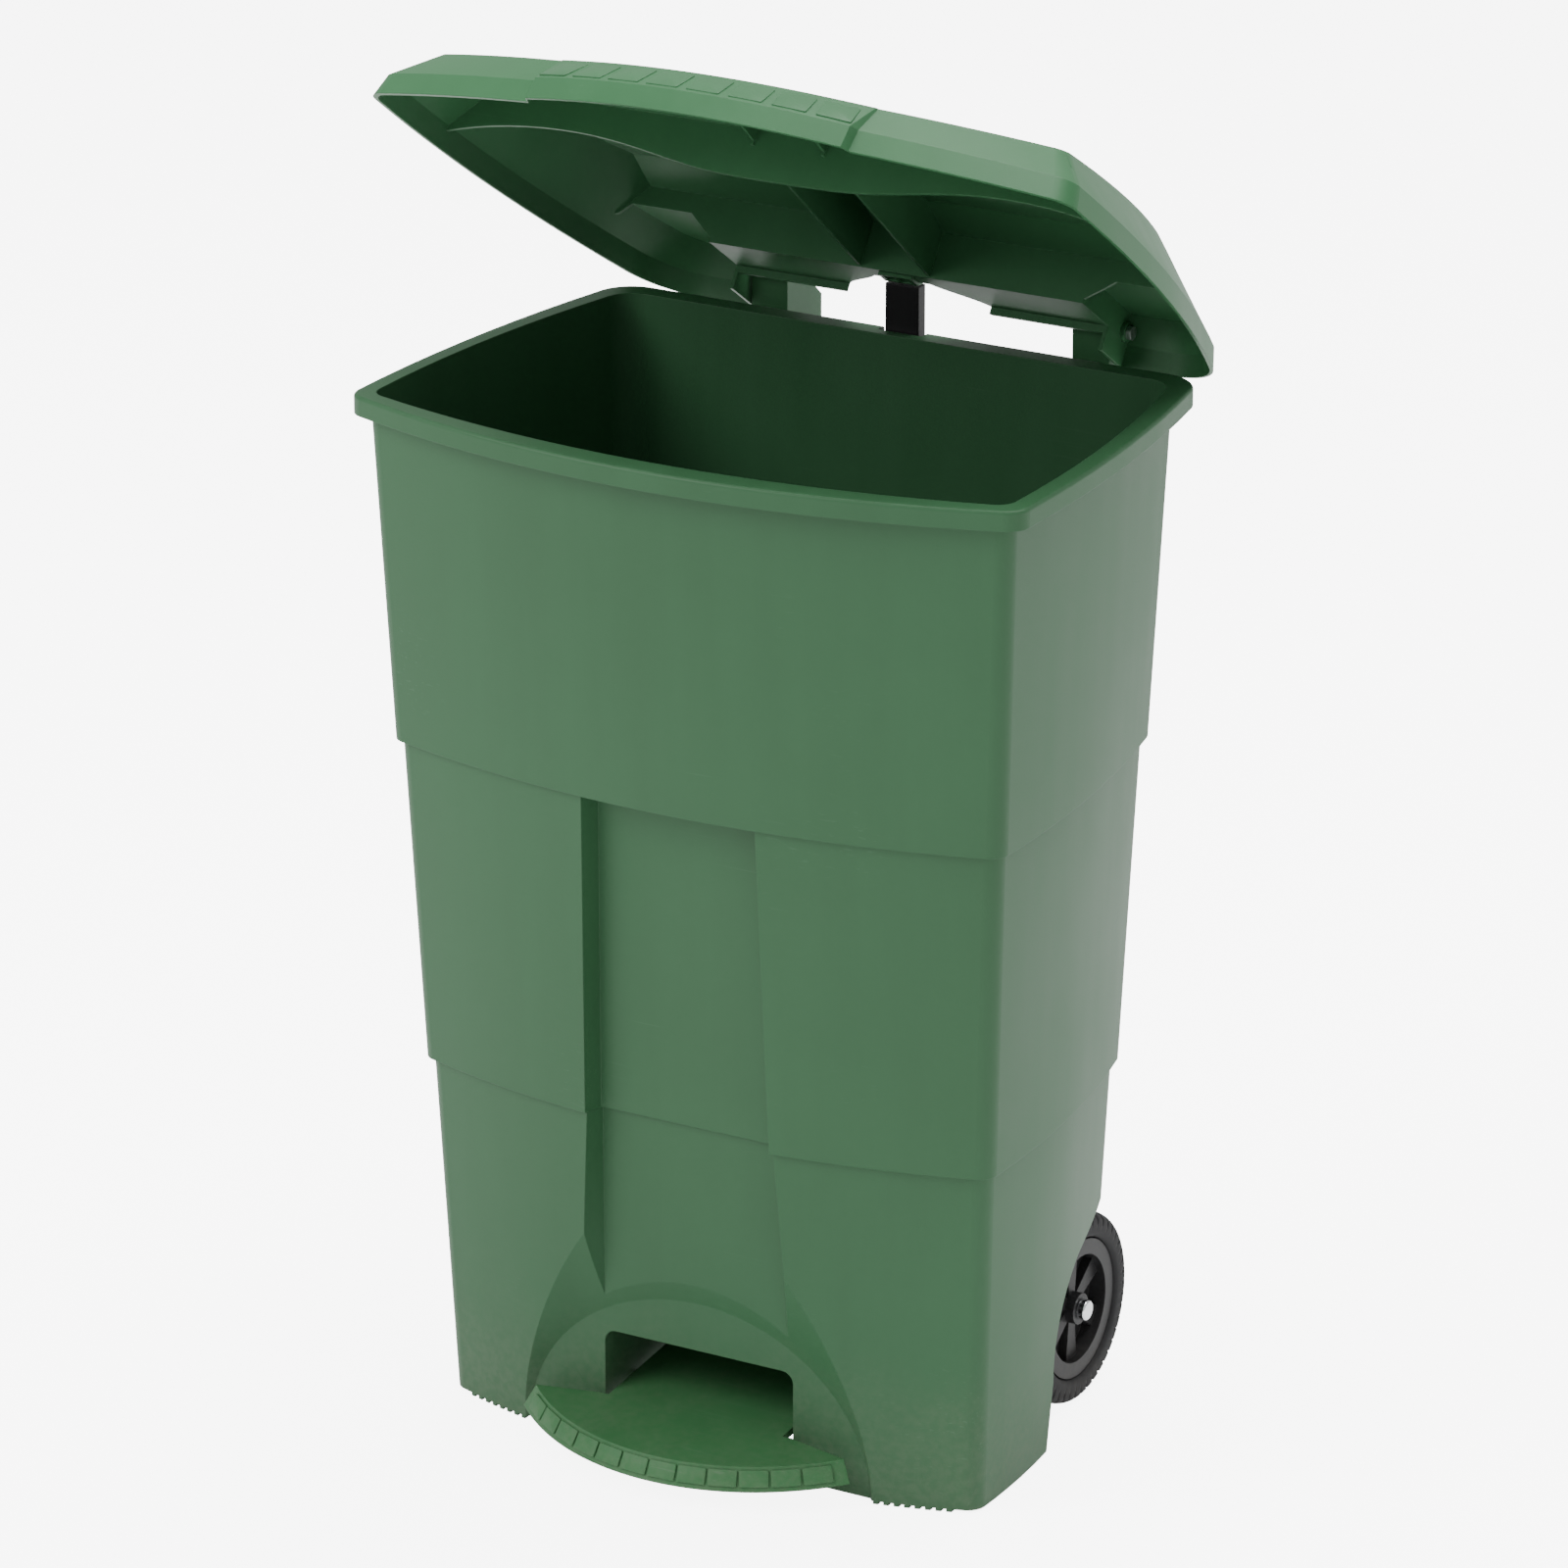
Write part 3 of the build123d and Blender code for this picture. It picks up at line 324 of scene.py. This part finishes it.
def clean(mesh, sharp=30.0):
    mesh.shade_smooth()
    mesh.set_sharp_from_angle(angle=math.radians(sharp))


def pad_mesh(name, width, length, height, soft):
    """A flat pad with softened edges, centred on its own middle, facing +Z."""
    form = bmesh.new()
    bmesh.ops.create_cube(form, size=1.0)
    bmesh.ops.scale(form, vec=(width, length, height), verts=form.verts)
    upright = [e for e in form.edges if abs(e.verts[0].co.z - e.verts[1].co.z) > height / 2]
    bmesh.ops.bevel(form, geom=upright, offset=soft * 2.2, segments=4, profile=0.5, affect="EDGES")
    top = [e for e in form.edges if min(v.co.z for v in e.verts) > height * 0.49]
    bmesh.ops.bevel(form, geom=top, offset=soft * 0.8, segments=3, profile=0.5, affect="EDGES")
    mesh = bpy.data.meshes.new(name)
    form.to_mesh(mesh)
    form.free()
    return mesh


def make_arc_tree():
    """Copies of one pad along an arc about Z, tilted to the slope, then the row turned about X."""
    tree, given, out = geometry_tree("pads_on_arc", [
        ("Count", "NodeSocketInt", 8), ("Radius", FLOAT, 0.3), ("Centre Y", FLOAT, 0.0),
        ("Height", FLOAT, 0.0), ("Step angle", FLOAT, 0.1), ("Tilt", FLOAT, 0.8),
        ("Turn", FLOAT, 0.0), ("Turn centre", VECTOR, None), ("Uneven", FLOAT, 0.0001),
        ("Seed", "NodeSocketInt", 3), ("Material", "NodeSocketMaterial", None)])
    links = tree.links

    def value(operation, *parts):
        node = tree.nodes.new("ShaderNodeMath")
        node.operation = operation
        for index, part in enumerate(parts):
            socket(tree, node, index, part)
        return node.outputs[0]

    line = tree.nodes.new("GeometryNodeMeshLine")
    links.new(given.outputs["Count"], line.inputs["Count"])
    index = tree.nodes.new("GeometryNodeInputIndex").outputs[0]
    middle = value("MULTIPLY", value("SUBTRACT", given.outputs["Count"], 1.0), 0.5)
    angle = value("MULTIPLY", value("SUBTRACT", index, middle), given.outputs["Step angle"])
    random = tree.nodes.new("FunctionNodeRandomValue")
    random.data_type = "FLOAT"
    links.new(given.outputs["Seed"], random.inputs["Seed"])
    jitter = value("MULTIPLY", value("SUBTRACT", random.outputs[1], 0.5), given.outputs["Uneven"])
    place = tree.nodes.new("ShaderNodeCombineXYZ")
    socket(tree, place, 0, value("MULTIPLY", value("SINE", angle), given.outputs["Radius"]))
    socket(tree, place, 1, value("SUBTRACT", given.outputs["Centre Y"],
                                 value("MULTIPLY", value("COSINE", angle), given.outputs["Radius"])))
    socket(tree, place, 2, value("ADD", given.outputs["Height"], jitter))
    setter = tree.nodes.new("GeometryNodeSetPosition")
    links.new(line.outputs[0], setter.inputs["Geometry"])
    links.new(place.outputs[0], setter.inputs["Position"])
    turn = tree.nodes.new("ShaderNodeCombineXYZ")
    socket(tree, turn, 0, given.outputs["Tilt"])
    socket(tree, turn, 2, angle)
    copies = tree.nodes.new("GeometryNodeInstanceOnPoints")
    links.new(setter.outputs[0], copies.inputs["Points"])
    links.new(given.outputs["Geometry"], copies.inputs["Instance"])
    links.new(turn.outputs[0], copies.inputs["Rotation"])
    real = tree.nodes.new("GeometryNodeRealizeInstances")
    links.new(copies.outputs[0], real.inputs[0])
    back = tree.nodes.new("ShaderNodeVectorMath")
    back.operation = "SCALE"
    back.inputs["Scale"].default_value = -1.0
    links.new(given.outputs["Turn centre"], back.inputs[0])
    to_centre = tree.nodes.new("GeometryNodeTransform")
    links.new(real.outputs[0], to_centre.inputs["Geometry"])
    links.new(back.outputs[0], to_centre.inputs["Translation"])
    about_x = tree.nodes.new("ShaderNodeCombineXYZ")
    socket(tree, about_x, 0, given.outputs["Turn"])
    turned = tree.nodes.new("GeometryNodeTransform")
    links.new(to_centre.outputs[0], turned.inputs["Geometry"])
    links.new(about_x.outputs[0], turned.inputs["Rotation"])
    links.new(given.outputs["Turn centre"], turned.inputs["Translation"])
    dress = tree.nodes.new("GeometryNodeSetMaterial")
    links.new(turned.outputs[0], dress.inputs["Geometry"])
    links.new(given.outputs["Material"], dress.inputs["Material"])
    links.new(dress.outputs[0], out.inputs[0])
    return tree


ARC = make_arc_tree()


def arc_of_pads(name, pad, values):
    piece = run_tree(name, pad, ARC, values)
    clean(piece.data, 35.0)
    return piece


# ---------------------------------------------------------------- lid grip pads
lid_pads = arc_of_pads(
    "lid_grip_pads",
    pad_mesh("lid_pad", 0.0275, 0.0265, 0.0026, 0.0006),
    {"Count": 8, "Radius": 0.4132, "Centre Y": 0.1523, "Height": 0.8639, "Step angle": 0.0833,
     "Tilt": math.radians(40.35), "Turn": -LID_OPEN, "Turn centre": HINGE, "Material": GREEN_LID})
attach(lid_pads, "lid")

# ---------------------------------------------------------------- pedal grip blocks
pedal_blocks = arc_of_pads(
    "pedal_grip_blocks",
    pad_mesh("pedal_block", 0.0235, 0.0135, 0.0030, 0.0006),
    {"Count": 12, "Radius": 0.2042, "Centre Y": PIVOT.y + 0.077, "Height": 0.0380,
     "Step angle": math.radians(7.05), "Tilt": math.radians(57.0), "Turn": PEDAL_DOWN,
     "Turn centre": PIVOT, "Material": GREEN_PEDAL})
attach(pedal_blocks, "pedal")


# ---------------------------------------------------------------- tyres
def make_groove_tree():
    """Presses curved grooves into the shoulders of a tyre that lies round the X axis."""
    tree, given, out = geometry_tree("tyre_grooves", [
        ("Grooves", FLOAT, 45.0), ("Depth", FLOAT, 0.0022), ("Width share", FLOAT, 0.15),
        ("Sweep", FLOAT, 0.5), ("Start radius", FLOAT, 0.0705), ("Middle band", FLOAT, 0.003),
        ("Seed", "NodeSocketInt", 1), ("Material", "NodeSocketMaterial", None)])
    links = tree.links

    def value(operation, *parts):
        node = tree.nodes.new("ShaderNodeMath")
        node.operation = operation
        for index, part in enumerate(parts):
            socket(tree, node, index, part)
        return node.outputs[0]

    spot = tree.nodes.new("GeometryNodeInputPosition").outputs[0]
    parts = tree.nodes.new("ShaderNodeSeparateXYZ")
    links.new(spot, parts.inputs[0])
    x, y, z = parts.outputs
    radius = value("SQRT", value("ADD", value("MULTIPLY", y, y), value("MULTIPLY", z, z)))
    angle = value("ARCTAN2", z, y)
    side = value("ABSOLUTE", x)
    along = value("ADD", value("MULTIPLY", value("SUBTRACT", WHEEL_RADIUS, radius), 60.0),
                  value("MULTIPLY", side, 45.0))
    bent = value("MULTIPLY", value("POWER", along, 1.6), given.outputs["Sweep"])
    turns = value("ADD", value("MULTIPLY", angle, value("DIVIDE", given.outputs["Grooves"], 2 * math.pi)), bent)
    away = value("ABSOLUTE", value("SUBTRACT", value("FRACT", turns), 0.5))
    line = span(tree, away, 0.0, given.outputs["Width share"], 1.0, 0.0)
    outer = span(tree, radius, given.outputs["Start radius"],
                 value("ADD", given.outputs["Start radius"], 0.002))
    edge = span(tree, side, given.outputs["Middle band"], value("ADD", given.outputs["Middle band"], 0.0015))
    depth = value("MULTIPLY", value("MULTIPLY", line, outer), value("MULTIPLY", edge, given.outputs["Depth"]))
    normal = tree.nodes.new("GeometryNodeInputNormal").outputs[0]
    shift = tree.nodes.new("ShaderNodeVectorMath")
    shift.operation = "SCALE"
    links.new(normal, shift.inputs[0])
    links.new(value("MULTIPLY", depth, -1.0), shift.inputs["Scale"])
    setter = tree.nodes.new("GeometryNodeSetPosition")
    links.new(given.outputs["Geometry"], setter.inputs["Geometry"])
    links.new(shift.outputs[0], setter.inputs["Offset"])
    real = tree.nodes.new("GeometryNodeRealizeInstances")
    links.new(setter.outputs[0], real.inputs[0])
    dress = tree.nodes.new("GeometryNodeSetMaterial")
    links.new(real.outputs[0], dress.inputs["Geometry"])
    links.new(given.outputs["Material"], dress.inputs["Material"])
    links.new(dress.outputs[0], out.inputs[0])
    return tree


def tyre_section(half, outer, inner, steps):
    """Points (x, radius) round the tyre's section: broad shoulders, flat walls, a bead at the rim."""
    points = []
    middle = (outer + inner) / 2
    tall = (outer - inner) / 2
    for index in range(steps):
        a = 2 * math.pi * index / steps
        c = math.cos(a)
        s = math.sin(a)
        power = 2.0 / 3.4 if s > 0 else 2.0 / 5.0
        x = half * math.copysign(abs(c) ** power, c)
        r = middle + tall * math.copysign(abs(s) ** power, s)
        points.append((x, r))
    return points


def tyre_mesh(name, around, steps):
    section = tyre_section(0.0199, WHEEL_RADIUS - 0.0002, TYRE_INNER + 0.0002, steps)
    verts = []
    faces = []
    for turn in range(around):
        a = 2 * math.pi * turn / around
        for x, r in section:
            verts.append((x, r * math.cos(a), r * math.sin(a)))
    for turn in range(around):
        here = turn * steps
        there = ((turn + 1) % around) * steps
        for index in range(steps):
            after = (index + 1) % steps
            faces.append((here + index, here + after, there + after, there + index))
    mesh = bpy.data.meshes.new(name)
    mesh.from_pydata(verts, [], faces)
    mesh.update()
    form = bmesh.new()
    form.from_mesh(mesh)
    bmesh.ops.recalc_face_normals(form, faces=form.faces)
    form.to_mesh(mesh)
    form.free()
    return mesh


GROOVES = make_groove_tree()
TYRE = tyre_mesh("tyre_blank", 720, 44)
for side, name in ((1, "right"), (-1, "left")):
    tyre = run_tree("tyre_grooved_" + name, TYRE, GROOVES, {"Material": RUBBER})
    low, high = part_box("tyre_" + name)
    centre = (low + high) / 2
    tyre.data.transform(Matrix.Translation(centre) @ Matrix.Diagonal((side, 1, 1, 1)))
    if side < 0:
        tyre.data.flip_normals()
    clean(tyre.data, 60.0)
    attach(tyre, "wheel_" + name)
    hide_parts("tyre_" + name)


# ---------------------------------------------------------------- stage, light and camera
BACKDROP_GLOW = 6.0    # the floor as the camera sees it is nearly white
FLOOR_BOUNCE = 0.45    # extra light from the floor into the undersides


def make_floor():
    mesh = bpy.data.meshes.new("floor")
    size = 40.0
    mesh.from_pydata([(-size, -size, 0), (size, -size, 0), (size, size, 0), (-size, size, 0)], [], [(0, 1, 2, 3)])
    floor = bpy.data.objects.new("floor", mesh)
    bpy.context.scene.collection.objects.link(floor)
    material, tree, shader, where = blank_material("pale_floor")
    cloud = noise(tree, where, 1.5, 3.0)
    tree.links.new(mix(tree, cloud, (0.97, 0.97, 0.97, 1), (0.99, 0.99, 0.99, 1)), shader.inputs["Base Color"])
    shader.inputs["Roughness"].default_value = 0.9
    seen = tree.nodes.new("ShaderNodeLightPath").outputs["Is Camera Ray"]
    glow = calc(tree, "ADD", calc(tree, "MULTIPLY", seen, BACKDROP_GLOW), FLOOR_BOUNCE)
    shader.inputs["Emission Color"].default_value = (1.0, 1.0, 1.0, 1.0)
    tree.links.new(glow, shader.inputs["Emission Strength"])
    mesh.materials.append(material)
    return floor


def area_light(name, place, aim, size, power, colour=(1.0, 1.0, 1.0)):
    light = bpy.data.lights.new(name, "AREA")
    light.shape = "RECTANGLE"
    light.size = size[0]
    light.size_y = size[1]
    light.energy = power
    light.color = colour
    holder = bpy.data.objects.new(name, light)
    holder.location = place
    holder.rotation_euler = (Vector(aim) - Vector(place)).to_track_quat("-Z", "Y").to_euler()
    bpy.context.scene.collection.objects.link(holder)
    return holder


make_floor()
area_light("key", (-2.4, -3.2, 3.6), (0.0, 0.0, 0.5), (2.6, 2.6), 150.0)
area_light("side", (3.6, -0.6, 1.8), (0.0, 0.0, 0.5), (1.6, 2.4), 4.0)
area_light("top", (0.2, 0.6, 3.6), (0.0, 0.0, 0.8), (2.4, 2.4), 150.0)

world = bpy.data.worlds.new("studio")
world.use_nodes = True
world.node_tree.nodes["Background"].inputs["Color"].default_value = (1.0, 1.0, 1.0, 1.0)
world.node_tree.nodes["Background"].inputs["Strength"].default_value = 0.62
bpy.context.scene.world = world

lens = bpy.data.cameras.new("camera")
lens.lens = 184.25
lens.sensor_width = 36.0
lens.clip_start = 0.1
lens.clip_end = 100.0
camera = bpy.data.objects.new("camera", lens)
camera.location = (2.928, -5.171, 2.730)
aim = Vector((-0.0036, -0.027, 0.5263))
camera.rotation_euler = (aim - camera.location).to_track_quat("-Z", "Y").to_euler()
bpy.context.scene.collection.objects.link(camera)
bpy.context.scene.camera = camera
